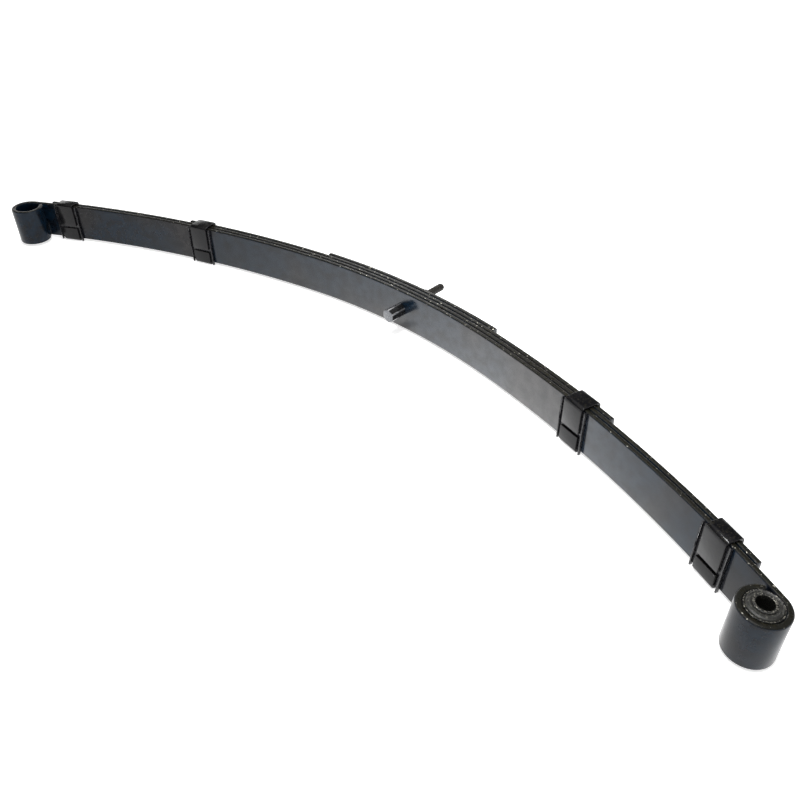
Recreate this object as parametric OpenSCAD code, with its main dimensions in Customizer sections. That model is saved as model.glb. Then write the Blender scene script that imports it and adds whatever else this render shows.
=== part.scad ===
// Semi-elliptic leaf spring lying on the edges of its leaves.
// +X runs along the spring towards the bushed eye, +Y towards the shorter leaves, +Z across the leaf width.
// The origin is on the hollow face of the main leaf, at the centre bolt and at mid width.

/* [Leaves] */
// Width of every leaf
leaf_w = 63.5; // [50:0.5:76]
// Thickness of every leaf
leaf_t = 7.4; // [6:0.1:9]
// Gap left between neighbouring leaves by paint and scale
leaf_gap = 0.5; // [0.3:0.1:0.6]
// Radius of the hollow face in the middle, between the flexing sections
mid_r = 1000; // [800:10:1600]
// Radius of the hollow face on each limb, beyond its flexing section
limb_r = 1700; // [1200:10:2500]
// Length from the centre bolt to the front eye, along the main leaf
main_front = 689; // [680:1:720]
// Length from the centre bolt to the rear eye, along the main leaf
main_rear = 769; // [765:1:800]
// Length of the second leaf towards the front
second_front = 645; // [630:1:650]
// Length of the second leaf towards the rear
second_rear = 735; // [728:1:735]
// Length of the third leaf towards the front
third_front = 402; // [390:1:420]
// Length of the third leaf towards the rear
third_rear = 450; // [445:1:470]
// Half length of the short leaf
short_half = 168; // [120:1:170]

/* [Eyes] */
// Diameter of both eye bores
eye_bore_d = 39; // [34:0.1:42]
// Angle of the roll that is left open next to the leaf
eye_open_angle = 48; // [47:1:70]

/* [Flexing sections] */
// Length from the centre bolt to the front flexing section
pivot_front = 180; // [175:1:200]
// Length from the centre bolt to the rear flexing section
pivot_rear = 190; // [175:1:210]
// Radius of the round seam between the middle and a limb
seam_r = 12.2; // [12.2:0.1:13]
// Gap in the seam
seam_gap = 0.3; // [0.2:0.1:0.5]

/* [Clips] */
// Width of the clip strap
clip_w = 32; // [28:1:36]
// Thickness of the clip strap
clip_t = 3.2; // [2.5:0.1:4]
// Outside corner radius of a bent clip
clip_bend_r = 6; // [5:0.1:7]
// Inside corner radius of a bent clip
clip_in_r = 1.6; // [1:0.1:1.6]
// Centre of the front outer clip, along the main leaf
clip_front_outer = 600; // [595:1:610]
// Centre of the front inner clip
clip_front_inner = 357; // [350:1:370]
// Centre of the rear outer clip
clip_rear_outer = 702; // [690:1:710]
// Centre of the rear inner clip
clip_rear_inner = 419; // [400:1:425]
// Width of the slot between the tabs of a clip
slot_w = 5; // [3:0.5:8]
// Height of the slot of the front outer clip
slot_front_outer = -11.5; // [-14:0.5:-5]
// Height of the slot of the front inner clip
slot_front_inner = -7; // [-14:0.5:-5]
// Height of the slot of the rear outer clip
slot_rear_outer = -7.5; // [-14:0.5:-5]
// Height of the slot of the rear inner clip
slot_rear_inner = -8.5; // [-14:0.5:-5]
// Gap between a clip and what it holds
clip_gap = 0.5; // [0.5:0.1:0.8]
// Diameter of a clip rivet
rivet_d = 8; // [6:0.5:10]

/* [Clip liners] */
// Thickness of the liner under the tabs
liner_t = 1.6; // [1:0.1:2]
// Width of a liner, over its lips
liner_w = 44; // [42:1:50]
// Width of each lip
lip_w = 2; // [1.5:0.1:3]
// Height of the lips above the leaf
lip_h = 4.6; // [3:0.1:5]
// Length by which the lips hang below the leaf
lip_over = 3; // [0:0.5:3.5]

/* [Centre bolt] */
// Outside diameter of the thread
thread_d = 12; // [12:0.5:14]
// Diameter of the shank, which is the pitch diameter of the thread
shank_d = 10.9; // [10:0.1:11.4]
// Diameter of the hole through the leaves
bolt_hole_d = 12.5; // [12.5:0.1:14.5]
// Width across the flats of head and nut
hex_af = 19; // [17:0.5:24]
// Length of the head
head_l = 28.5; // [10:0.5:32]
// Height of the nut
nut_h = 28.5; // [10:0.5:30]
// Length of thread beyond the nut
thread_l = 38; // [10:1:40]

/* [Bush] */
// Diameter of the hole through the inner sleeve
sleeve_bore_d = 18.2; // [14:0.1:20]
// Outside diameter of the inner sleeve
sleeve_d = 24; // [22:0.5:27]
// Length of the inner sleeve
sleeve_l = 71.5; // [66:0.5:73]
// Wall of the outer shell
shell_t = 1.5; // [1:0.1:2]
// Length by which the rubber stands out of each end of the eye
rubber_out = 2.5; // [1:0.1:3.5]
// Running clearance between the rubber and the inner sleeve, on the radius
run_gap = 0.05; // [0.02:0.01:0.1]

/* [Hidden] */

leaf_paint = [0.10, 0.10, 0.11];
clip_paint = [0.05, 0.05, 0.06];
bolt_paint = [0.08, 0.08, 0.09];
rubber_black = [0.04, 0.04, 0.04];
sleeve_steel = [0.35, 0.35, 0.36];

half_w = leaf_w / 2;
pitch = leaf_t + leaf_gap;
pack2 = 2 * leaf_t + leaf_gap;
pack3 = 3 * leaf_t + 2 * leaf_gap;
pack4 = 4 * leaf_t + 3 * leaf_gap;
eye_bore_r = eye_bore_d / 2;
eye_r = eye_bore_r + leaf_t;
eye_offset = leaf_t - eye_r;
arc_fn = 2880;
eye_fn = 180;
cut = 1;
thread_chamfer = 1.5;
thread_relief = 1;
fit_gap = 0.05;
head_gap = 0.1;
liner_gap = 0.3;
liner_inset = 1;
strap_gap = 0.2;
rubber_rim = 1.5;
rivet_head_d = 1.7 * rivet_d;
rivet_head_h = 0.4 * rivet_d;

// The flexing section that ends the middle bend on the side of s
function pivot_at(s) = s > 0 ? pivot_front : -pivot_rear;

// True on the middle bend
function is_middle(s) = s <= pivot_front && s >= -pivot_rear;

// Turn of the leaf at length s from the centre bolt, in degrees
function turn_at(s) =
    (is_middle(s) ? s / mid_r : pivot_at(s) / mid_r + (s - pivot_at(s)) / limb_r) * 180 / PI;

// Centre of the bend that holds length s
function bend_centre(s) =
    is_middle(s)
        ? [0, -mid_r]
        : [(mid_r - limb_r) * sin(turn_at(pivot_at(s))),
            (mid_r - limb_r) * cos(turn_at(pivot_at(s))) - mid_r];

// Radius of the hollow face at length s
function bend_r(s) = is_middle(s) ? mid_r : limb_r;

// Puts its children on the hollow face at length s, +X along the leaf and +Y outwards, raised by offset
module at_leaf(s, offset = 0) {
    c = bend_centre(s);
    a = turn_at(s);
    r = bend_r(s) + offset;
    translate([c.x + r * sin(a), c.y + r * cos(a), 0])
        rotate([0, 0, -a])
            children();
}

// A bar of leaf bent to radius r about the origin, from the +Y axis through sweep degrees towards -X
module arc_bar(r, sweep, fn) {
    rotate([0, 0, 90])
        rotate_extrude(angle = sweep, $fn = fn)
            translate([r, -half_w])
                square([leaf_t, leaf_w]);
}

// A stretch of leaf of radius r, about centre c, between two turns
module bend(c, r, a0, a1) {
    translate([c.x, c.y, 0])
        rotate([0, 0, -a1])
            arc_bar(r, a1 - a0, arc_fn);
}

// The middle bend of a leaf, carried on past its ends to lengths -s_rear and s_front
module middle_bend(offset, s_rear, s_front) {
    bend([0, -mid_r], mid_r + offset, -s_rear / mid_r * 180 / PI, s_front / mid_r * 180 / PI);
}

// The limb bend of a leaf on one side, from its flexing section to length s_end
module limb_bend(side, offset, s_end) {
    s = side * s_end;
    turns = [turn_at(pivot_at(s)), turn_at(s)];
    bend(bend_centre(s), limb_r + offset, min(turns), max(turns));
}

// The cylinder whose axis is the flexing section of one limb
module seam_cylinder(side, r) {
    at_leaf(pivot_at(side), pack3 / 2)
        cylinder(r = r, h = leaf_w + 2 * cut, center = true, $fn = 96);
}

// What is cut off past a flexing section to leave a round end
module round_end_cutter(side) {
    at_leaf(pivot_at(side), pack3 / 2)
        mirror([side > 0 ? 0 : 1, 0, 0])
            difference() {
                translate([0, -pack4, -half_w - cut])
                    cube([2 * seam_r, 2 * pack4, leaf_w + 2 * cut]);
                cylinder(r = seam_r, h = leaf_w + 4 * cut, center = true, $fn = 96);
            }
}

// Round hole for the centre bolt
module bolt_hole() {
    rotate([-90, 0, 0])
        translate([0, 0, -cut])
            cylinder(d = bolt_hole_d, h = pack4 + 2 * cut, $fn = 64);
}

// The clamped middle of a leaf, with a round end at each flexing section
module leaf_middle(offset) {
    over = seam_r + cut;
    difference() {
        middle_bend(offset, pivot_rear + over, pivot_front + over);
        round_end_cutter(1);
        round_end_cutter(-1);
        bolt_hole();
    }
}

// A limb of a leaf, from its flexing section to length s_end
module leaf_limb(side, offset, s_end) {
    difference() {
        limb_bend(side, offset, s_end);
        seam_cylinder(side, seam_r + seam_gap);
    }
}

// A limb of the main leaf with its rolled eye, which is open next to the leaf by eye_open_angle
module main_limb(side) {
    s = side > 0 ? main_front : -main_rear;
    sweep = abs(turn_at(s) - turn_at(pivot_at(s)));
    color(leaf_paint)
        difference() {
            at_leaf(s)
                mirror([side > 0 ? 0 : 1, 0, 0]) {
                    translate([0, -limb_r, 0])
                        arc_bar(limb_r, sweep, arc_fn);
                    translate([0, eye_offset, 0])
                        mirror([1, 0, 0])
                            arc_bar(eye_bore_r, 360 - eye_open_angle, eye_fn);
                }
            seam_cylinder(side, seam_r + seam_gap);
        }
}

// Rectangle from [x0, y0] to [x1, y1] with round corners
module round_rect(x0, y0, x1, y1, r) {
    translate([x0 + r, y0])
        square([x1 - x0 - 2 * r, y1 - y0]);
    translate([x0, y0 + r])
        square([x1 - x0, y1 - y0 - 2 * r]);
    for (x = [x0 + r, x1 - r], y = [y0 + r, y1 - r])
        translate([x, y])
            circle(r = r, $fn = 48);
}

// Bent strap round a pack of the given thickness, its tabs on the hollow face either side of a slot
module clip(s, pack, slot_z) {
    in_y0 = -liner_gap - liner_t - strap_gap;
    in_y1 = pack + clip_gap;
    in_z = half_w + clip_gap;
    color(clip_paint)
        at_leaf(s)
            difference() {
                rotate([90, 0, 90])
                    translate([0, 0, -clip_w / 2])
                        linear_extrude(clip_w)
                            difference() {
                                round_rect(in_y0 - clip_t, -in_z - clip_t, in_y1 + clip_t, in_z + clip_t,
                                    clip_bend_r);
                                round_rect(in_y0, -in_z, in_y1, in_z, clip_in_r);
                                translate([in_y0 - clip_t - cut, slot_z - slot_w / 2])
                                    square([clip_t + 2 * cut, slot_w]);
                            }
                translate([0, in_y1 - cut, 0])
                    rotate([-90, 0, 0])
                        cylinder(d = rivet_d + 2 * fit_gap, h = clip_t + 2 * cut, $fn = 48);
            }
}

// Channel under the tabs, with a lip along each side of the strap that hangs below the leaf
module liner(s) {
    base_h = leaf_w - 2 * liner_inset;
    color(rubber_black)
        at_leaf(s) {
            translate([-liner_w / 2, -liner_gap - liner_t, -base_h / 2])
                cube([liner_w, liner_t, base_h]);
            for (x = [-liner_w / 2, liner_w / 2 - lip_w])
                translate([x, -lip_h, -half_w - lip_over])
                    cube([lip_w, lip_h - liner_gap, leaf_w + lip_over]);
        }
}

// Rivet that holds a clip to the outermost leaf of its pack
module rivet(s, pack) {
    head_y = pack + clip_gap + clip_t + fit_gap;
    shank_l = head_y - pack + leaf_t - fit_gap;
    at_leaf(s)
        translate([0, pack - leaf_t + fit_gap, 0])
            rotate([-90, 0, 0]) {
                cylinder(d = rivet_d, h = shank_l + cut, $fn = 48);
                translate([0, 0, shank_l])
                    cylinder(d1 = rivet_head_d, d2 = rivet_d, h = rivet_head_h, $fn = 48);
            }
}

// Hole for a rivet in the leaf that it holds
module rivet_hole(s, pack) {
    at_leaf(s)
        translate([0, pack - leaf_t - cut, 0])
            rotate([-90, 0, 0])
                cylinder(d = rivet_d + 2 * fit_gap, h = leaf_t + 2 * cut, $fn = 48);
}

module second_limb(side, s_end, s_clip) {
    color(leaf_paint)
        difference() {
            leaf_limb(side, pitch, s_end);
            rivet_hole(s_clip, pack2);
        }
}

module third_limb(side, s_end, s_clip) {
    color(leaf_paint)
        difference() {
            leaf_limb(side, 2 * pitch, s_end);
            rivet_hole(s_clip, pack3);
        }
}

module main_leaf_middle() {
    color(leaf_paint) leaf_middle(0);
}

module second_leaf_middle() {
    color(leaf_paint) leaf_middle(pitch);
}

module third_leaf_middle() {
    color(leaf_paint) leaf_middle(2 * pitch);
}

module short_leaf() {
    color(leaf_paint)
        difference() {
            middle_bend(3 * pitch, short_half, short_half);
            bolt_hole();
        }
}

module centre_bolt() {
    shank_l = pack4 + nut_h;
    color(bolt_paint)
        rotate([-90, 0, 0]) {
            translate([0, 0, -head_l - head_gap])
                rotate([0, 0, 30])
                    cylinder(d = hex_af / cos(30), h = head_l, $fn = 6);
            translate([0, 0, -cut])
                cylinder(d = shank_d, h = shank_l + thread_relief + 2 * cut, $fn = 64);
            translate([0, 0, shank_l + thread_relief])
                cylinder(d = thread_d, h = thread_l - thread_chamfer - thread_relief, $fn = 64);
            translate([0, 0, shank_l + thread_l - thread_chamfer])
                cylinder(d1 = thread_d, d2 = thread_d - 2 * thread_chamfer, h = thread_chamfer, $fn = 64);
        }
}

module centre_nut() {
    color(bolt_paint)
        rotate([-90, 0, 0])
            translate([0, 0, pack4 + fit_gap])
                difference() {
                    rotate([0, 0, 30])
                        cylinder(d = hex_af / cos(30), h = nut_h, $fn = 6);
                    translate([0, 0, -cut])
                        cylinder(d = shank_d + 2 * fit_gap, h = nut_h + 2 * cut, $fn = 64);
                }
}

module main_leaf_front() {
    main_limb(1);
}

module second_leaf_front() {
    second_limb(1, second_front, clip_front_outer);
}

module third_leaf_front() {
    third_limb(1, third_front, clip_front_inner);
}

module front_inner_clip() {
    clip(clip_front_inner, pack3, slot_front_inner);
}

module front_outer_clip() {
    clip(clip_front_outer, pack2, slot_front_outer);
}

module front_inner_liner() {
    liner(clip_front_inner);
}

module front_outer_liner() {
    liner(clip_front_outer);
}

module front_clip_rivets() {
    color(clip_paint) {
        rivet(clip_front_inner, pack3);
        rivet(clip_front_outer, pack2);
    }
}

// Tube along Z at the front eye
module eye_tube(r_in, r_out, length) {
    at_leaf(main_front, eye_offset)
        difference() {
            cylinder(r = r_out, h = length, center = true, $fn = 96);
            cylinder(r = r_in, h = length + 2 * cut, center = true, $fn = 96);
        }
}

module bush_shell() {
    color(sleeve_steel) eye_tube(eye_bore_r - fit_gap - shell_t, eye_bore_r - fit_gap, leaf_w);
}

module bush_rubber() {
    r_in = sleeve_d / 2 + run_gap;
    r_out = eye_bore_r - 2 * fit_gap - shell_t;
    end_z = half_w + rubber_out;
    color(rubber_black)
        at_leaf(main_front, eye_offset)
            rotate_extrude($fn = 96)
                polygon([[r_in, -end_z], [r_in + rubber_rim, -end_z], [r_out, -half_w], [r_out, half_w],
                    [r_in + rubber_rim, end_z], [r_in, end_z]]);
}

module bush_inner_sleeve() {
    color(sleeve_steel) eye_tube(sleeve_bore_d / 2, sleeve_d / 2, sleeve_l);
}

module main_leaf_rear() {
    main_limb(-1);
}

module second_leaf_rear() {
    second_limb(-1, second_rear, -clip_rear_outer);
}

module third_leaf_rear() {
    third_limb(-1, third_rear, -clip_rear_inner);
}

module rear_inner_clip() {
    clip(-clip_rear_inner, pack3, slot_rear_inner);
}

module rear_outer_clip() {
    clip(-clip_rear_outer, pack2, slot_rear_outer);
}

module rear_inner_liner() {
    liner(-clip_rear_inner);
}

module rear_outer_liner() {
    liner(-clip_rear_outer);
}

module rear_clip_rivets() {
    color(clip_paint) {
        rivet(-clip_rear_inner, pack3);
        rivet(-clip_rear_outer, pack2);
    }
}

main_leaf_middle();
second_leaf_middle();
third_leaf_middle();
short_leaf();
centre_bolt();
centre_nut();
main_leaf_front();
second_leaf_front();
third_leaf_front();
front_inner_clip();
front_outer_clip();
front_inner_liner();
front_outer_liner();
front_clip_rivets();
bush_shell();
bush_rubber();
bush_inner_sleeve();
main_leaf_rear();
second_leaf_rear();
third_leaf_rear();
rear_inner_clip();
rear_outer_clip();
rear_inner_liner();
rear_outer_liner();
rear_clip_rivets();
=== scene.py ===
import math

import bmesh
import bpy
from mathutils import Matrix, Vector


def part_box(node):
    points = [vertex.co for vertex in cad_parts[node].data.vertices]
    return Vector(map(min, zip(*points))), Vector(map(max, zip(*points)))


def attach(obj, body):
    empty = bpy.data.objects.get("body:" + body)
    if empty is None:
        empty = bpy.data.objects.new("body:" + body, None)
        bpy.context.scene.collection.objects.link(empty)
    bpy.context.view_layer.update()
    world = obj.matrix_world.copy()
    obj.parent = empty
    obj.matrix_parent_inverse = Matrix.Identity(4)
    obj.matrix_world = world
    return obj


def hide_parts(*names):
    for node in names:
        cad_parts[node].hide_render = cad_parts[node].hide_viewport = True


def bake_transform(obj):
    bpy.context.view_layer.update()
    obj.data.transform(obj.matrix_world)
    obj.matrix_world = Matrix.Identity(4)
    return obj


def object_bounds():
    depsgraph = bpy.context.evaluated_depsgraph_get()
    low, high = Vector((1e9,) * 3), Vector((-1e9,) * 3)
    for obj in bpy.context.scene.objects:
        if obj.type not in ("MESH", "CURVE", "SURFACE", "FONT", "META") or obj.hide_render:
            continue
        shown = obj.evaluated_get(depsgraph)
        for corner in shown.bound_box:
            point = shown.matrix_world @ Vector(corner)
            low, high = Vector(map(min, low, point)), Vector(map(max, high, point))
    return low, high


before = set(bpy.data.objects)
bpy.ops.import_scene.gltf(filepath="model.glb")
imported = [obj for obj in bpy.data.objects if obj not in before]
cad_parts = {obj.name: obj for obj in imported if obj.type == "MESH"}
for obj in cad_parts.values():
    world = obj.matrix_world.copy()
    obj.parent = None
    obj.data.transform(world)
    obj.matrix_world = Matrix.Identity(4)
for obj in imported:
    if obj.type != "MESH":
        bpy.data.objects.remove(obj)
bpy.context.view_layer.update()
print("stage: frame loaded")

# The spring's own sizes, in metres, shared by every piece
spring = {
    "leafThick": 0.0074,
    "leafPitch": 0.0079,
    "edgeRound": 0.0024,
    "endRound": 0.0006,
    "midRadius": 1.0,
    "limbRadius": 1.7,
    "frontPivot": 0.180,
    "rearPivot": 0.190,
    "frontBend": (0.020, 0.330),
    "rearBend": (0.0, 0.390),
    "eyeBore": 0.0195,
    "eyeOpenDegrees": 48,
    "boltHoleRadius": 0.00625,
}
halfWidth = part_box("main_leaf_middle")[1].z
sharpDegrees = 35  # shading breaks at edges sharper than this
creaseDegrees = 40  # softenCreases rounds edges sharper than this
cutterLength = 0.2


def placeAt(length, raised=0.0, side=1):
    # Point on the hollow face at a length from the centre bolt, and how far the leaf has turned there
    pivot = spring["frontPivot"] if side > 0 else spring["rearPivot"]
    midRadius, limbRadius = spring["midRadius"], spring["limbRadius"]
    if length <= pivot:
        turn, centre, radius = length / midRadius, (0.0, -midRadius), midRadius
    else:
        centre = limbCentre(side)
        turn, radius = pivot / midRadius + (length - pivot) / limbRadius, limbRadius
    x = centre[0] + (radius + raised) * math.sin(turn)
    y = centre[1] + (radius + raised) * math.cos(turn)
    return x, y, turn


def limbCentre(side):
    # Centre of a limb's bend, on the front side's way round
    pivot = spring["frontPivot"] if side > 0 else spring["rearPivot"]
    pivotTurn = pivot / spring["midRadius"]
    reach = spring["midRadius"] - spring["limbRadius"]
    return reach * math.sin(pivotTurn), reach * math.cos(pivotTurn) - spring["midRadius"]


def onLeaf(length, side=1, raised=0.0):
    # Places local +X along the leaf and +Y outwards
    x, y, turn = placeAt(length, raised, side)
    return Matrix.Translation((side * x, y, 0)) @ Matrix.Rotation(-side * turn, 4, "Z")


def roundedLoop(bm, low, high, flatAxis, corner, segments):
    # Round-cornered rectangle of edges between two corners, flat along one axis
    rest = [axis for axis in range(3) if axis != flatAxis]
    verts = []
    for first, second in ((low, low), (high, low), (high, high), (low, high)):
        point = list(low)
        point[rest[0]], point[rest[1]] = first[rest[0]], second[rest[1]]
        verts.append(bm.verts.new(point))
    bm.faces.new(verts)
    bmesh.ops.bevel(bm, geom=verts, offset=corner, segments=segments, profile=0.5,
                    affect="VERTICES", material=-1, offset_type="OFFSET")
    bmesh.ops.delete(bm, geom=bm.faces[:], context="FACES_ONLY")


def sweepLoop(bm, moves):
    # Carries the loop along straights and arcs, then closes both ends
    verts, edges = bm.verts[:], bm.edges[:]
    for move in moves:
        if move["kind"] == "arc":
            made = bmesh.ops.spin(bm, geom=verts + edges, cent=move["centre"], axis=move["axis"],
                                  angle=move["angle"], steps=move["steps"], dvec=(0, 0, 0),
                                  use_merge=False, use_duplicate=False)["geom_last"]
        else:
            made = bmesh.ops.extrude_edge_only(bm, edges=edges)["geom"]
            bmesh.ops.translate(bm, verts=[v for v in made if isinstance(v, bmesh.types.BMVert)],
                                vec=move["by"])
        verts = [v for v in made if isinstance(v, bmesh.types.BMVert)]
        kept = set(verts)
        edges = [e for e in made if isinstance(e, bmesh.types.BMEdge) and set(e.verts) <= kept]
    bmesh.ops.holes_fill(bm, edges=bm.edges[:], sides=0)
    bmesh.ops.recalc_face_normals(bm, faces=bm.faces[:])


def arc(centre, axis, angle, steps):
    return {"kind": "arc", "centre": centre, "axis": axis, "angle": angle, "steps": steps}


def straight(by):
    return {"kind": "straight", "by": by}


def roundCaps(bm, width, skipMiddle=False):
    # Takes the sharpness off the flat ends of a swept bar, and can leave out the end at X 0
    caps = [f for f in bm.faces if len(f.verts) > 4
            and not (skipMiddle and abs(f.calc_center_median().x) < 1e-5)]
    edges = list({e for f in caps for e in f.edges})
    bmesh.ops.bevel(bm, geom=edges, offset=width, segments=2, profile=0.5, affect="EDGES", material=-1)


def lathe(bm, outline, steps, closed):
    # Turns an outline of (radius, height) points about Z
    verts = [bm.verts.new((radius, 0, height)) for radius, height in outline]
    pairs = list(zip(verts, verts[1:])) + ([(verts[-1], verts[0])] if closed else [])
    edges = [bm.edges.new(pair) for pair in pairs]
    bmesh.ops.spin(bm, geom=verts + edges, cent=(0, 0, 0), axis=(0, 0, 1), angle=2 * math.pi,
                   steps=steps, dvec=(0, 0, 0), use_merge=True, use_duplicate=False)
    bmesh.ops.remove_doubles(bm, verts=bm.verts[:], dist=1e-6)
    bmesh.ops.recalc_face_normals(bm, faces=bm.faces[:])


def softenCreases(bm, width, segments=2):
    creases = [e for e in bm.edges if len(e.link_faces) == 2
               and e.calc_face_angle(0) > math.radians(creaseDegrees)]
    bmesh.ops.bevel(bm, geom=creases, offset=width, segments=segments, profile=0.5,
                    affect="EDGES", material=-1, clamp_overlap=True)


def meshObject(bm, name):
    mesh = bpy.data.meshes.new(name)
    bm.to_mesh(mesh)
    bm.free()
    thing = bpy.data.objects.new(name, mesh)
    bpy.context.scene.collection.objects.link(thing)
    return thing


def roundCutter(name, radius, segments, turn):
    # A long round bar, to be taken away from a piece
    bm = bmesh.new()
    bmesh.ops.create_cone(bm, cap_ends=True, segments=segments, radius1=radius, radius2=radius,
                          depth=cutterLength, matrix=turn)
    return meshObject(bm, name)


def combine(thing, other, operation):
    # Boolean of two pieces, kept as a plain mesh
    modifier = thing.modifiers.new("combine", "BOOLEAN")
    modifier.operation, modifier.object, modifier.solver = operation, other, "EXACT"
    bpy.context.view_layer.update()
    evaluated = thing.evaluated_get(bpy.context.evaluated_depsgraph_get())
    mesh = bpy.data.meshes.new_from_object(evaluated)
    thing.modifiers.clear()
    thing.data = mesh
    bpy.data.objects.remove(other)


def finishPiece(thing, material, nodes):
    # Paints a piece and hides the CAD nodes it stands for
    mesh = thing.data
    mesh.materials.clear()
    mesh.materials.append(material)
    mesh.polygons.foreach_set("use_smooth", [True] * len(mesh.polygons))
    mesh.set_sharp_from_angle(angle=math.radians(sharpDegrees))
    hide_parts(*nodes)


class Signal:
    # A socket that can be used in sums, each of which adds its Math node
    def __init__(self, graph, socket):
        self.graph, self.socket = graph, socket

    def sum(self, operation, first, second):
        return self.graph.add("ShaderNodeMath", {"operation": operation}, {0: first, 1: second})

    def __add__(self, other):
        return self.sum("ADD", self, other)

    def __radd__(self, other):
        return self.sum("ADD", other, self)

    def __sub__(self, other):
        return self.sum("SUBTRACT", self, other)

    def __rsub__(self, other):
        return self.sum("SUBTRACT", other, self)

    def __mul__(self, other):
        return self.sum("MULTIPLY", self, other)

    def __rmul__(self, other):
        return self.sum("MULTIPLY", other, self)


class Graph:
    def __init__(self, name):
        self.material = bpy.data.materials.new(name)
        self.material.use_nodes = True
        self.tree = self.material.node_tree
        self.tree.nodes.clear()

    def add(self, kind, settings=None, sockets=None, output=0):
        node = self.tree.nodes.new(kind)
        for name, value in (settings or {}).items():
            setattr(node, name, value)
        for name, value in (sockets or {}).items():
            if isinstance(value, Signal):
                self.tree.links.new(value.socket, node.inputs[name])
            else:
                node.inputs[name].default_value = value
        return Signal(self, node.outputs[output])

    def place(self):
        return self.add("ShaderNodeTexCoord", output="Object")

    def attribute(self, name):
        return self.add("ShaderNodeAttribute", {"attribute_name": name}, output="Vector")

    def noise(self, where, scale, detail=3.0, roughness=0.55):
        return self.add("ShaderNodeTexNoise", {}, {"Vector": where, "Scale": scale,
                        "Detail": detail, "Roughness": roughness})

    def step(self, value, low, high, toLow=0.0, toHigh=1.0):
        return self.add("ShaderNodeMapRange", {"interpolation_type": "SMOOTHSTEP"},
                        {"Value": value, "From Min": low, "From Max": high,
                         "To Min": toLow, "To Max": toHigh})

    def mixColour(self, mask, under, over):
        return self.add("ShaderNodeMix", {"data_type": "RGBA"}, {0: mask, 6: under, 7: over}, output=2)

    def upFacing(self):
        # 1 on surfaces square to the leaf width, 0 on the broad faces
        normal = self.add("ShaderNodeNewGeometry", output="Normal")
        height = self.add("ShaderNodeSeparateXYZ", {}, {0: normal}, output=2)
        return self.step(height * height, 0.25, 0.75)

    def bump(self, height, distance, strength):
        return self.add("ShaderNodeBump", {}, {"Strength": strength, "Distance": distance,
                        "Height": height})

    def surface(self, sockets):
        shader = self.add("ShaderNodeBsdfPrincipled", {}, sockets)
        output = self.tree.nodes.new("ShaderNodeOutputMaterial")
        self.tree.links.new(shader.socket, output.inputs["Surface"])
        return self.material


leafFinish = {
    "cool": (0.0030, 0.0095, 0.0185, 1), "warm": (0.0125, 0.0115, 0.0120, 1),
    "soot": (0.0028, 0.0034, 0.0050, 1),
    "edge": (0.0060, 0.0057, 0.0034, 1), "edgeLight": (0.019, 0.0175, 0.011, 1),
    "bareSteel": (0.60, 0.58, 0.50, 1),
    "driftScale": 5.5, "mottleScale": 62, "grainScale": 1100, "millScale": 170, "chipScale": 300,
    "coolToWarm": (0.46, 0.62), "sootSpread": (0.42, 0.70), "edgeSpread": (0.50, 0.66),
    "chipSpread": (0.68, 0.73), "faceRough": (0.15, 0.24), "edgeRough": (0.42, 0.24),
    "shine": 0.20, "sheen": 0.90, "sheenMottle": (1.1, 0.82), "sheenRough": 0.17,
    "sheenRear": (-0.75, 0.30), "sheenFront": (0.20, 0.70),
    "grainHeight": 0.14, "mottleHeight": 0.45, "millHeight": 2.4,
}


def makeLeafPaint():
    look = leafFinish
    graph = Graph("leafPaint")
    where = graph.attribute("leafPlace")
    drift = graph.noise(where, look["driftScale"], 2)
    mottle = graph.noise(where, look["mottleScale"], 5, 0.6)
    grain = graph.noise(where, look["grainScale"], 2)
    mill = graph.noise(where, look["millScale"], 5, 0.7)
    chips = graph.noise(where, look["chipScale"], 2, 0.5)
    edge = graph.upFacing()
    hue = graph.mixColour(graph.step(drift, *look["coolToWarm"]), look["cool"], look["warm"])
    face = graph.mixColour(graph.step(mottle, *look["sootSpread"]), hue, look["soot"])
    side = graph.mixColour(graph.step(mill, *look["edgeSpread"]), look["edge"], look["edgeLight"])
    chip = edge * graph.step(chips, *look["chipSpread"])
    paint = graph.mixColour(edge, face, side)
    colour = graph.mixColour(chip, paint, look["bareSteel"])
    faceRough = graph.step(mottle, 0.3, 0.7, *look["faceRough"])
    rough = faceRough + edge * (graph.step(mill, 0.4, 0.6, *look["edgeRough"]) - faceRough)
    # The top coat is thickest, and so shines most, ahead of the middle
    along = graph.add("ShaderNodeSeparateXYZ", {}, {0: where})
    sheen = graph.step(along, *look["sheenRear"]) * graph.step(along, *look["sheenFront"], 1.0, 0.0)
    coat = (1.0 - edge) * sheen * graph.step(mottle, 0.3, 0.7, *look["sheenMottle"]) * look["sheen"]
    height = grain * look["grainHeight"] + mottle * look["mottleHeight"] + edge * mill * look["millHeight"]
    return graph.surface({"Base Color": colour, "Metallic": chip, "Roughness": rough,
                          "Specular IOR Level": look["shine"], "Coat Weight": coat,
                          "Coat Roughness": look["sheenRough"],
                          "Normal": graph.bump(height, 0.0005, 0.4)})


clipFinish = {
    "black": (0.004, 0.004, 0.005, 1), "dust": (0.026, 0.024, 0.017, 1), "waveScale": 70,
    "dustScale": 520, "dustSpread": (0.52, 0.72), "sideDust": 0.35, "rough": (0.10, 0.24),
    "shine": 0.25, "dustHeight": 0.20,
}


def makeClipPaint():
    # Thick dipped paint that pools and ripples a little, with a film of dust, mostly on top
    look = clipFinish
    graph = Graph("clipPaint")
    where = graph.place()
    wave = graph.noise(where, look["waveScale"], 3)
    dust = graph.noise(where, look["dustScale"], 4, 0.65)
    dusty = graph.step(dust, *look["dustSpread"]) * (look["sideDust"] + graph.upFacing())
    return graph.surface({"Base Color": graph.mixColour(dusty, look["black"], look["dust"]),
                          "Roughness": graph.step(wave, 0.35, 0.7, *look["rough"]),
                          "Specular IOR Level": look["shine"],
                          "Normal": graph.bump(wave + dust * look["dustHeight"], 0.0006, 0.45)})


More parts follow.
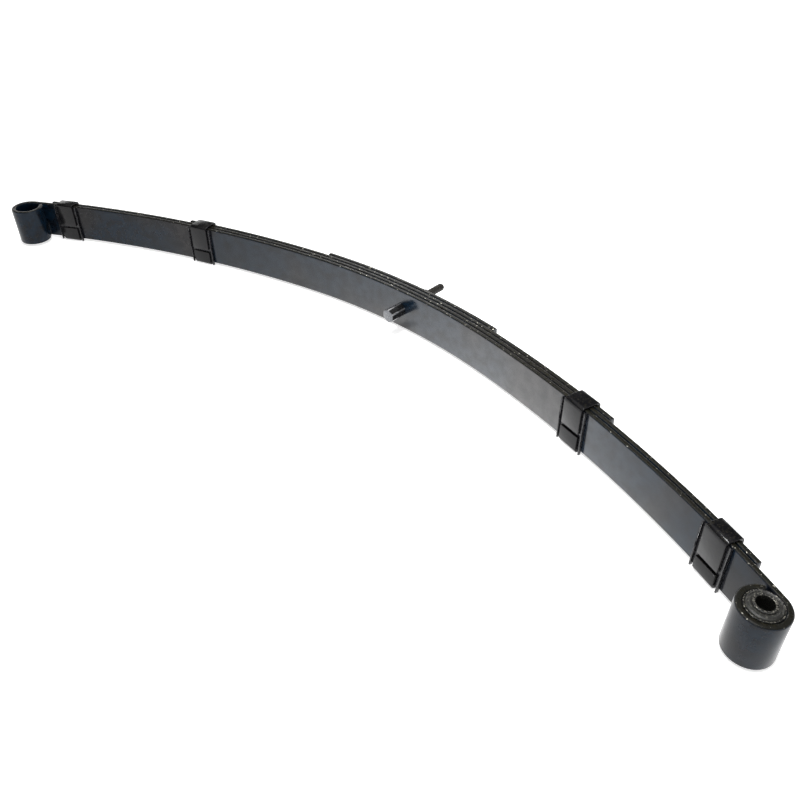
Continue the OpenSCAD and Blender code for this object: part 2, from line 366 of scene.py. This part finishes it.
boltFinish = {
    # The pale tone on the head's end face is a painted highlight
    "black": (0.003, 0.003, 0.0035, 1), "endHighlight": (0.125, 0.13, 0.14, 1),
    # The lighter tone on the thread's crests is a painted highlight
    "crestHighlight": (0.075, 0.070, 0.062, 1), "wornTone": (0.62, 0.62, 0.63, 1), "scuffScale": 420,
    "endFrom": (-0.0272, -0.0283), "endHighlightSpread": (0.65, 1.0), "cornerRadius": (0.0102, 0.0105),
    "wornFrom": (-0.0130, -0.0190), "leastWear": 0.12, "threadFrom": (0.0605, 0.0625),
    "crestRadius": (0.0052, 0.0059), "rough": (0.18, 0.30), "wornRough": 0.16,
}


def makeBoltPaint():
    # Black, with the head's end face painted pale as a painted highlight, and worn down to steel on the
    # corners beside it
    look = boltFinish
    graph = Graph("boltPaint")
    where = graph.place()
    scuff = graph.noise(where, look["scuffScale"], 4, 0.65)
    reach = graph.add("ShaderNodeSeparateXYZ", {}, {0: where}, output=1)
    across = graph.add("ShaderNodeVectorMath", {"operation": "MULTIPLY"}, {0: where, 1: (1, 0, 1)})
    radius = graph.add("ShaderNodeVectorMath", {"operation": "LENGTH"}, {0: across}, output=1)
    # Painted highlight: the head's end face is painted pale, varied by the scuff noise
    pale = graph.step(reach, *look["endFrom"]) * graph.step(scuff, 0.25, 0.60, *look["endHighlightSpread"])
    worn = (graph.step(radius, *look["cornerRadius"])
            * graph.step(reach, *look["wornFrom"], look["leastWear"], 1.0))
    # Painted highlight: the thread's crests are painted lighter than the black left in its roots
    thread = graph.step(reach, *look["threadFrom"]) * graph.step(radius, *look["crestRadius"])
    painted = graph.mixColour(pale, look["black"], look["endHighlight"])
    threaded = graph.mixColour(thread, painted, look["crestHighlight"])
    rough = graph.step(scuff, 0.3, 0.7, *look["rough"]) + worn * look["wornRough"]
    return graph.surface({"Base Color": graph.mixColour(worn, threaded, look["wornTone"]),
                          "Metallic": worn, "Roughness": rough,
                          "Normal": graph.bump(scuff, 0.0003, 0.4)})


rubberFinish = {
    "linerRubber": {"tone": (0.004, 0.004, 0.006, 1), "dust": (0.010, 0.010, 0.011, 1),
                    "rough": (0.24, 0.39)},
    "bushRubber": {"tone": (0.014, 0.014, 0.012, 1), "dust": (0.15, 0.145, 0.12, 1),
                   "rough": (0.36, 0.51)},
}


def makeRubber(name):
    look = rubberFinish[name]
    graph = Graph(name)
    where = graph.place()
    dust = graph.noise(where, 420, 4, 0.7)
    grain = graph.noise(where, 1600, 2)
    colour = graph.mixColour(graph.step(dust, 0.52, 0.72), look["tone"], look["dust"])
    return graph.surface({"Base Color": colour, "Roughness": graph.step(dust, 0.4, 0.7, *look["rough"]),
                          "Normal": graph.bump(grain * 0.4 + dust, 0.0003, 0.5)})


steelFinish = {"paint": (0.008, 0.008, 0.007, 1), "bare": (0.42, 0.40, 0.34, 1), "wearScale": 520,
               "wearSpread": (0.52, 0.62), "rough": (0.26, 0.42)}


def makeWornSteel():
    # Black paint, rubbed through to steel in specks
    look = steelFinish
    graph = Graph("bushSteel")
    where = graph.place()
    wear = graph.noise(where, look["wearScale"], 5, 0.7)
    bare = graph.step(wear, *look["wearSpread"]) * graph.upFacing()
    return graph.surface({"Base Color": graph.mixColour(bare, look["paint"], look["bare"]),
                          "Metallic": bare, "Roughness": graph.step(wear, 0.4, 0.7, *look["rough"]),
                          "Normal": graph.bump(wear, 0.0003, 0.5)})


leafPaint = makeLeafPaint()
clipPaint = makeClipPaint()
boltPaint = makeBoltPaint()
linerRubber = makeRubber("linerRubber")
bushRubber = makeRubber("bushRubber")
bushSteel = makeWornSteel()
print("stage: finishes made")


leaves = {
    "main": {"layer": 0, "front": 0.689, "rear": 0.769, "eye": True},
    "second": {"layer": 1, "front": 0.645, "rear": 0.735, "eye": False},
    "third": {"layer": 2, "front": 0.402, "rear": 0.450, "eye": False},
}
shortLeaf = {"layer": 3, "half": 0.168}
segmentLength = 0.008  # of leaf between two cross sections
eyeSteps = 72


def leafLoop(bm, layer):
    # The leaf's section at X 0
    raised = layer * spring["leafPitch"]
    roundedLoop(bm, (0, raised, -halfWidth), (0, raised + spring["leafThick"], halfWidth), 0,
                spring["edgeRound"], 5)


def drillBoltHole(thing):
    cutter = roundCutter("boltHoleCutter", spring["boltHoleRadius"], 48, Matrix.Rotation(math.pi / 2, 4, "X"))
    combine(thing, cutter, "DIFFERENCE")


def storeLeafPlace(thing, side):
    # Where each point would be on a straight leaf, so that paint bends with the steel
    pivot = spring["frontPivot"] if side > 0 else spring["rearPivot"]
    pivotTurn = pivot / spring["midRadius"]
    centre = limbCentre(side)
    attribute = thing.data.attributes.new("leafPlace", "FLOAT_VECTOR", "POINT")
    for vert, store in zip(thing.data.vertices, attribute.data):
        x, y = abs(vert.co.x), vert.co.y
        turn = math.atan2(x, y + spring["midRadius"])
        along = turn * spring["midRadius"]
        raised = math.hypot(x, y + spring["midRadius"]) - spring["midRadius"]
        if along > pivot:
            turn = math.atan2(x - centre[0], y - centre[1])
            along = pivot + (turn - pivotTurn) * spring["limbRadius"]
            raised = math.hypot(x - centre[0], y - centre[1]) - spring["limbRadius"]
        store.vector = (math.copysign(along, vert.co.x), raised, vert.co.z)


def leafHalf(name, side, layer, length, eye):
    # From the bolt to the tip, as one unbroken bar, with the eye rolled on the main leaf
    pivot = spring["frontPivot"] if side > 0 else spring["rearPivot"]
    x, y = limbCentre(side)
    bm = bmesh.new()
    leafLoop(bm, layer)
    moves = [arc((0, -spring["midRadius"], 0), (0, 0, 1), -pivot / spring["midRadius"],
                 round(pivot / segmentLength)),
             arc((x, y, 0), (0, 0, 1), -(length - pivot) / spring["limbRadius"],
                 round((length - pivot) / segmentLength))]
    if eye:
        x, y, _ = placeAt(length, -spring["eyeBore"], side)
        rolled = math.radians(360 - spring["eyeOpenDegrees"])
        moves.append(arc((x, y, 0), (0, 0, 1), -rolled, eyeSteps))
    sweepLoop(bm, moves)
    roundCaps(bm, spring["endRound"], skipMiddle=True)
    if side < 0:
        bmesh.ops.scale(bm, vec=(-1, 1, 1), verts=bm.verts[:])
        bmesh.ops.recalc_face_normals(bm, faces=bm.faces[:])
    thing = meshObject(bm, name)
    drillBoltHole(thing)
    storeLeafPlace(thing, side)
    return thing


for leafName, leaf in leaves.items():
    for side, end in ((1, "front"), (-1, "rear")):
        piece = leafHalf(f"{leafName}Leaf.{end}", side, leaf["layer"], leaf[end], leaf["eye"])
        finishPiece(piece, leafPaint,
                    [f"{leafName}_leaf_middle", f"{leafName}_leaf_{end}"])
        bendStart, bendEnd = spring[f"{end}Bend"]
        startX, startY, _ = placeAt(bendStart, 0, side)
        endX, endY, _ = placeAt(bendEnd, 0, side)
        side * startX
        side * endX
        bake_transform(piece)


def makeShortLeaf():
    turn = shortLeaf["half"] / spring["midRadius"]
    pin = (0, -spring["midRadius"], 0)
    bm = bmesh.new()
    leafLoop(bm, shortLeaf["layer"])
    bmesh.ops.rotate(bm, verts=bm.verts[:], cent=pin, matrix=Matrix.Rotation(turn, 3, "Z"))
    sweepLoop(bm, [arc(pin, (0, 0, 1), -2 * turn, round(2 * shortLeaf["half"] / segmentLength))])
    roundCaps(bm, spring["endRound"])
    thing = meshObject(bm, "shortLeaf")
    drillBoltHole(thing)
    storeLeafPlace(thing, 1)
    finishPiece(thing, leafPaint, ["short_leaf"])
    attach(thing, "seat")


makeShortLeaf()
print("stage: leaves rolled")


strap = {"width": 0.032, "thick": 0.0032, "edge": 0.0008, "insideRound": 0.0028, "gap": 0.0005,
         "tabInside": 0.0021, "slotHalf": 0.0025, "endRound": 0.0005}
lining = {"width": 0.044, "base": 0.0016, "gap": 0.0003, "lipWidth": 0.002, "lipHeight": 0.0046,
          "hang": 0.003, "inset": 0.001, "soft": 0.0007}
rivet = {"radius": 0.0068, "height": 0.0032, "shank": 0.004, "shankRadius": 0.004, "lift": 0.00003,
         "domeSteps": 8}
clips = {
    "front_outer": {"side": 1, "at": 0.600, "leaves": 2, "slot": -0.0115},
    "front_inner": {"side": 1, "at": 0.357, "leaves": 3, "slot": -0.0070},
    "rear_outer": {"side": -1, "at": 0.702, "leaves": 2, "slot": -0.0075},
    "rear_inner": {"side": -1, "at": 0.419, "leaves": 3, "slot": -0.0085},
}


def packThickness(count):
    return (count - 1) * spring["leafPitch"] + spring["leafThick"]


def makeClip(name, clip):
    # A strap bent right round the leaves, from one side of the slot to the other
    near, far = -strap["tabInside"], packThickness(clip["leaves"]) + strap["gap"]
    top, fold = halfWidth + strap["gap"], strap["insideRound"]
    half, quarter = strap["width"] / 2, -math.pi / 2
    bm = bmesh.new()
    start = clip["slot"] + strap["slotHalf"]
    roundedLoop(bm, (-half, near - strap["thick"], start), (half, near, start), 2, strap["edge"], 3)
    turnAbout = ((near + fold, top - fold), (far - fold, top - fold), (far - fold, -top + fold),
                 (near + fold, -top + fold))
    runs = ((0, 0, top - fold - start), (0, far - near - 2 * fold, 0), (0, 0, -2 * (top - fold)),
            (0, -(far - near - 2 * fold), 0))
    moves = []
    for run, (y, z) in zip(runs, turnAbout):
        moves += [straight(run), arc((0, y, z), (1, 0, 0), quarter, 8)]
    moves.append(straight((0, 0, clip["slot"] - strap["slotHalf"] + top - fold)))
    sweepLoop(bm, moves)
    roundCaps(bm, strap["endRound"])
    bmesh.ops.transform(bm, matrix=onLeaf(clip["at"], clip["side"]), verts=bm.verts[:])
    thing = meshObject(bm, name.replace("_", ".") + ".clip")
    finishPiece(thing, clipPaint, [f"{name}_clip"])
    return thing


def makeLiner(name, clip):
    # A channel whose two lips run on past its base
    half, lip = lining["width"] / 2, lining["width"] / 2 - lining["lipWidth"]
    low, base = -lining["lipHeight"], -lining["gap"] - lining["base"]
    high, reach = -lining["gap"], halfWidth - lining["inset"]
    bm = bmesh.new()
    corners = {key: bm.verts.new((x, y, -reach)) for key, x, y in (
        ("a", -half, low), ("b", -lip, low), ("c", -lip, base), ("d", -lip, high), ("e", -half, high),
        ("f", lip, base), ("g", lip, high), ("h", lip, low), ("i", half, low), ("j", half, high))}
    bands = [bm.faces.new([corners[key] for key in keys]) for keys in ("abcde", "cfgd", "hijgf")]
    made = bmesh.ops.extrude_face_region(bm, geom=bands, use_keep_orig=True)["geom"]
    bmesh.ops.translate(bm, verts=[v for v in made if isinstance(v, bmesh.types.BMVert)],
                        vec=(0, 0, 2 * reach))
    for level, by in ((reach, lining["inset"]), (-reach, -lining["inset"] - lining["hang"])):
        lips = [f for f in bm.faces if abs(f.calc_center_median().z - level) < 1e-6
                and abs(f.calc_center_median().x) > lip]
        made = bmesh.ops.extrude_face_region(bm, geom=lips)["geom"]
        bmesh.ops.translate(bm, verts=[v for v in made if isinstance(v, bmesh.types.BMVert)],
                            vec=(0, 0, by))
    bmesh.ops.recalc_face_normals(bm, faces=bm.faces[:])
    softenCreases(bm, lining["soft"], 3)
    bmesh.ops.transform(bm, matrix=onLeaf(clip["at"], clip["side"]), verts=bm.verts[:])
    thing = meshObject(bm, name.replace("_", ".") + ".liner")
    finishPiece(thing, linerRubber, [f"{name}_liner"])
    return thing


def addRivet(bm, clip):
    # Low domed head on the back of the strap
    face = packThickness(clip["leaves"]) + strap["gap"] + strap["thick"]
    turns = [k / rivet["domeSteps"] * math.pi / 2 for k in range(rivet["domeSteps"])]
    dome = [(rivet["radius"] * math.cos(turn), rivet["height"] * math.sin(turn) + rivet["lift"])
            for turn in turns]
    foot = [(0, -rivet["shank"]), (rivet["shankRadius"], -rivet["shank"]),
            (rivet["shankRadius"], rivet["lift"])]
    one = bmesh.new()
    lathe(one, foot + dome + [(0, rivet["height"])], 40, False)
    spot = (onLeaf(clip["at"], clip["side"]) @ Matrix.Translation((0, face, 0))
            @ Matrix.Rotation(-math.pi / 2, 4, "X"))
    bmesh.ops.transform(one, matrix=spot, verts=one.verts[:])
    mesh = bpy.data.meshes.new("rivetPart")
    one.to_mesh(mesh)
    one.free()
    bm.from_mesh(mesh)
    bpy.data.meshes.remove(mesh)


for clipName, clipSet in clips.items():
    limb = clipName.split("_")[0] + "_limb"
    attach(makeClip(clipName, clipSet), limb)
    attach(makeLiner(clipName, clipSet), limb)
for end in ("front", "rear"):
    rivetMesh = bmesh.new()
    for clipName, clipSet in clips.items():
        if clipName.startswith(end):
            addRivet(rivetMesh, clipSet)
    rivets = meshObject(rivetMesh, f"{end}.clipRivets")
    finishPiece(rivets, clipPaint, [f"{end}_clip_rivets"])
    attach(rivets, f"{end}_limb")
print("stage: clips, liners and rivets fitted")


bolt = {"acrossFlats": 0.019, "head": 0.0285, "headGap": 0.0001, "nut": 0.0285, "nutGap": 0.00005,
        "nutPlay": 0.0003, "shank": 0.00545, "shankInHead": 0.002, "crest": 0.006, "root": 0.0051,
        "pitch": 0.00175, "relief": 0.001, "thread": 0.038, "chamfer": 0.0015, "edge": 0.0010,
        "faceRadius": 0.0088, "nutFaceRadius": 0.0100}


def hexBar(name, length, faceRadius, chamferBoth):
    # Six-sided bar along Z from 0, its end corners turned back on a 30 degree cone
    corner = bolt["acrossFlats"] / 2 / math.cos(math.pi / 6)
    bm = bmesh.new()
    place = Matrix.Translation((0, 0, length / 2)) @ Matrix.Rotation(math.pi / 6, 4, "Z")
    bmesh.ops.create_cone(bm, cap_ends=True, segments=6, radius1=corner, radius2=corner, depth=length,
                          matrix=place)
    corners = [e for e in bm.edges if abs(e.verts[0].co.z - e.verts[1].co.z) > length / 2]
    bmesh.ops.bevel(bm, geom=corners, offset=bolt["edge"], segments=3, profile=0.5,
                    affect="EDGES", material=-1)
    thing = meshObject(bm, name)
    outer = corner * 1.05
    drop = (outer - faceRadius) * math.tan(math.pi / 6)
    lower = [(faceRadius, 0), (outer, drop)] if chamferBoth else [(outer, 0)]
    outline = [(0, 0)] + lower + [(outer, length - drop), (faceRadius, length), (0, length)]
    cone = bmesh.new()
    lathe(cone, outline, 96, False)
    combine(thing, meshObject(cone, "chamferCone"), "INTERSECT")
    return thing


def turnToBolt(thing, quarters, level):
    # Stands a hex bar on the bolt's line with a corner up, and moves it to its level
    thing.data.transform(Matrix.Translation((0, level, 0)) @ Matrix.Rotation(quarters * math.pi / 2, 4, "X")
                         @ Matrix.Rotation(math.pi / 6, 4, "Z"))
    thing.data.update()


def makeBolt():
    head = hexBar("centreBolt", bolt["head"], bolt["faceRadius"], False)
    turnToBolt(head, 1, -bolt["headGap"])
    pack = packThickness(4)
    begin = pack + bolt["nut"] + bolt["relief"]
    tip = pack + bolt["nut"] + bolt["thread"]
    ridges = math.floor((tip - bolt["chamfer"] - begin) / bolt["pitch"])
    outline = [(0, -bolt["shankInHead"]), (bolt["shank"], -bolt["shankInHead"]),
               (bolt["shank"], begin), (bolt["root"], begin)]
    for ridge in range(ridges):
        foot = begin + ridge * bolt["pitch"]
        outline += [(bolt[level], foot + bolt["pitch"] * share) for level, share in
                    (("root", 0.10), ("crest", 0.44), ("crest", 0.56), ("root", 0.90))]
    outline += [(bolt["root"], tip - bolt["chamfer"]), (bolt["crest"] - bolt["chamfer"], tip), (0, tip)]
    bm = bmesh.new()
    lathe(bm, outline, 48, False)
    bmesh.ops.transform(bm, matrix=Matrix.Rotation(-math.pi / 2, 4, "X"), verts=bm.verts[:])
    combine(head, meshObject(bm, "boltShank"), "UNION")
    finishPiece(head, boltPaint, ["centre_bolt"])
    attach(head, "seat")


def makeNut():
    nut = hexBar("centreNut", bolt["nut"], bolt["nutFaceRadius"], True)
    bore = roundCutter("nutBore", bolt["shank"] + bolt["nutPlay"], 64, Matrix.Identity(4))
    combine(nut, bore, "DIFFERENCE")
    turnToBolt(nut, -1, packThickness(4) + bolt["nutGap"])
    finishPiece(nut, boltPaint, ["centre_nut"])
    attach(nut, "seat")


makeBolt()
makeNut()
print("stage: centre bolt and nut made")


bush = {"shellOut": 0.01945, "shellIn": 0.01795, "sleeveOut": 0.012, "sleeveIn": 0.0091,
        "sleeveHalf": 0.03575, "stand": 0.0025, "play": 0.00005, "shellRound": 0.0004,
        "sleeveRound": 0.0006}
# The rubber's swollen end, as steps out from the sleeve and how far each point is below the top
rubberEnd = ((0, 0.0002), (0.0006, 0), (0.0018, 0.0001), (0.0026, 0.0012), (0.0034, 0.0014),
             (0.0042, 0.0009), (0.0050, 0.0013))


def ringPiece(name, outline, softness, material, node, body):
    # A turned ring, set in the front eye
    bm = bmesh.new()
    lathe(bm, outline, 96, True)
    if softness:
        softenCreases(bm, softness)
    eye = onLeaf(leaves["main"]["front"], 1, -spring["eyeBore"])
    bmesh.ops.transform(bm, matrix=eye, verts=bm.verts[:])
    thing = meshObject(bm, name)
    finishPiece(thing, material, [node])
    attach(thing, body)


def mirroredEnds(halfOutline):
    # An outline of one end, repeated the other way up for the far end
    return halfOutline + [(radius, -height) for radius, height in reversed(halfOutline)]


def makeBush():
    shell = [(bush["shellIn"], halfWidth), (bush["shellOut"], halfWidth)]
    sleeve = [(bush["sleeveIn"], bush["sleeveHalf"]), (bush["sleeveOut"], bush["sleeveHalf"])]
    inner, outer = bush["sleeveOut"] + bush["play"], bush["shellIn"] - bush["play"]
    top = halfWidth + bush["stand"]
    rubber = ([(inner + step, top - drop) for step, drop in rubberEnd]
              + [(outer - 0.0002, halfWidth - 0.0004), (outer, halfWidth - 0.0010)])
    ringPiece("bushShell", mirroredEnds(shell), bush["shellRound"], bushSteel,
              "bush_shell", "front_limb")
    ringPiece("bushRubber", mirroredEnds(rubber), 0, bushRubber,
              "bush_rubber", "front_limb")
    ringPiece("bushSleeve", mirroredEnds(sleeve), bush["sleeveRound"], bushSteel,
              "bush_inner_sleeve", "bush_core")


makeBush()
print("stage: bush pressed in")


studio = {"floorRadius": 12.0, "coveRound": 1.5, "coveHeight": 4.2, "floorTone": (0.93, 0.93, 0.93, 1),
          "glowFrom": 1.0, "glowTo": 2.0, "nearGlow": (0.72, 0.72, 0.72, 1), "farGlow": (1, 1, 1, 1),
          "glow": 0.9, "worldStrength": 0.10}
softboxes = {
    "overhead": {"place": (0.0, 0.0, 4.0), "target": (0, 0, 0), "size": (6.0, 6.0), "power": 88},
    "rim": {"place": (-1.8, 1.85, 1.62), "target": (0, 0, 0), "size": (0.60, 0.40), "power": 9},
    "top": {"place": (-0.2, -0.1, 2.6), "target": (0.1, -0.1, 0), "size": (0.30, 0.20), "power": 20},
}
pool = {"place": (0.22, -0.75, 2.2), "target": (0.22, -0.20, 0), "degrees": 26, "power": 340,
        "radius": 0.45}
view = {"place": (0.7233, -0.7643, 0.6297), "turn": 42.98, "tilt": 52.45, "roll": -0.16,
        "lens": 35.49, "sensor": 36, "shiftX": -0.0077, "shiftY": 0.0016, "farthest": 60}


def makeFloor():
    # A round pale floor that curves up into a wall
    radius, sweep, level = studio["floorRadius"], studio["coveRound"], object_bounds()[0][2]
    turns = [math.radians(degrees) for degrees in range(0, 91, 10)]
    cove = [(radius - sweep + sweep * math.sin(turn), level + sweep * (1 - math.cos(turn)))
            for turn in turns]
    bm = bmesh.new()
    lathe(bm, [(0, level)] + cove + [(radius, level + studio["coveHeight"])], 96, False)
    floor = meshObject(bm, "floor")
    floor.data.polygons.foreach_set("use_smooth", [True] * len(floor.data.polygons))
    graph = Graph("floorPaper")
    # Lit by the lamps near the spring, and evenly white further off
    reach = graph.add("ShaderNodeVectorMath", {"operation": "LENGTH"}, {0: graph.place()}, output=1)
    far = graph.step(reach, studio["glowFrom"], studio["glowTo"])
    glow = graph.mixColour(far, studio["nearGlow"], studio["farGlow"])
    floor.data.materials.append(graph.surface({
        "Base Color": studio["floorTone"], "Roughness": 0.9, "Specular IOR Level": 0.1,
        "Emission Color": glow, "Emission Strength": studio["glow"]}))


def aimLamp(lamp, setting):
    thing = bpy.data.objects.new(lamp.name, lamp)
    bpy.context.scene.collection.objects.link(thing)
    thing.location = setting["place"]
    sight = Vector(setting["target"]) - thing.location
    thing.rotation_euler = sight.to_track_quat("-Z", "Y").to_euler()


def addSoftbox(name, setting):
    lamp = bpy.data.lights.new(name, "AREA")
    lamp.shape, lamp.energy = "RECTANGLE", setting["power"]
    lamp.size, lamp.size_y = setting["size"]
    aimLamp(lamp, setting)


def addPool():
    # A soft round pool of light in front of the middle of the spring
    lamp = bpy.data.lights.new("pool", "SPOT")
    lamp.energy, lamp.spot_size, lamp.spot_blend = pool["power"], math.radians(pool["degrees"]), 1.0
    lamp.shadow_soft_size = pool["radius"]
    aimLamp(lamp, pool)


def makeStudio():
    world = bpy.data.worlds.new("studio")
    bpy.context.scene.world = world
    world.use_nodes = True
    backdrop = world.node_tree.nodes["Background"]
    backdrop.inputs["Color"].default_value = (1, 1, 1, 1)
    backdrop.inputs["Strength"].default_value = studio["worldStrength"]
    for name, setting in softboxes.items():
        addSoftbox(name, setting)
    addPool()
    bpy.context.scene.view_settings.view_transform = "Standard"


def makeCamera():
    data = bpy.data.cameras.new("camera")
    camera = bpy.data.objects.new("camera", data)
    bpy.context.scene.collection.objects.link(camera)
    data.lens, data.sensor_width, data.clip_end = view["lens"], view["sensor"], view["farthest"]
    data.shift_x, data.shift_y = view["shiftX"], view["shiftY"]
    turn = (Matrix.Rotation(math.radians(view["turn"]), 4, "Z")
            @ Matrix.Rotation(math.radians(view["tilt"]), 4, "X")
            @ Matrix.Rotation(math.radians(view["roll"]), 4, "Z"))
    camera.matrix_world = Matrix.Translation(view["place"]) @ turn
    bpy.context.scene.camera = camera


makeFloor()
makeStudio()
makeCamera()
print("stage: studio set")
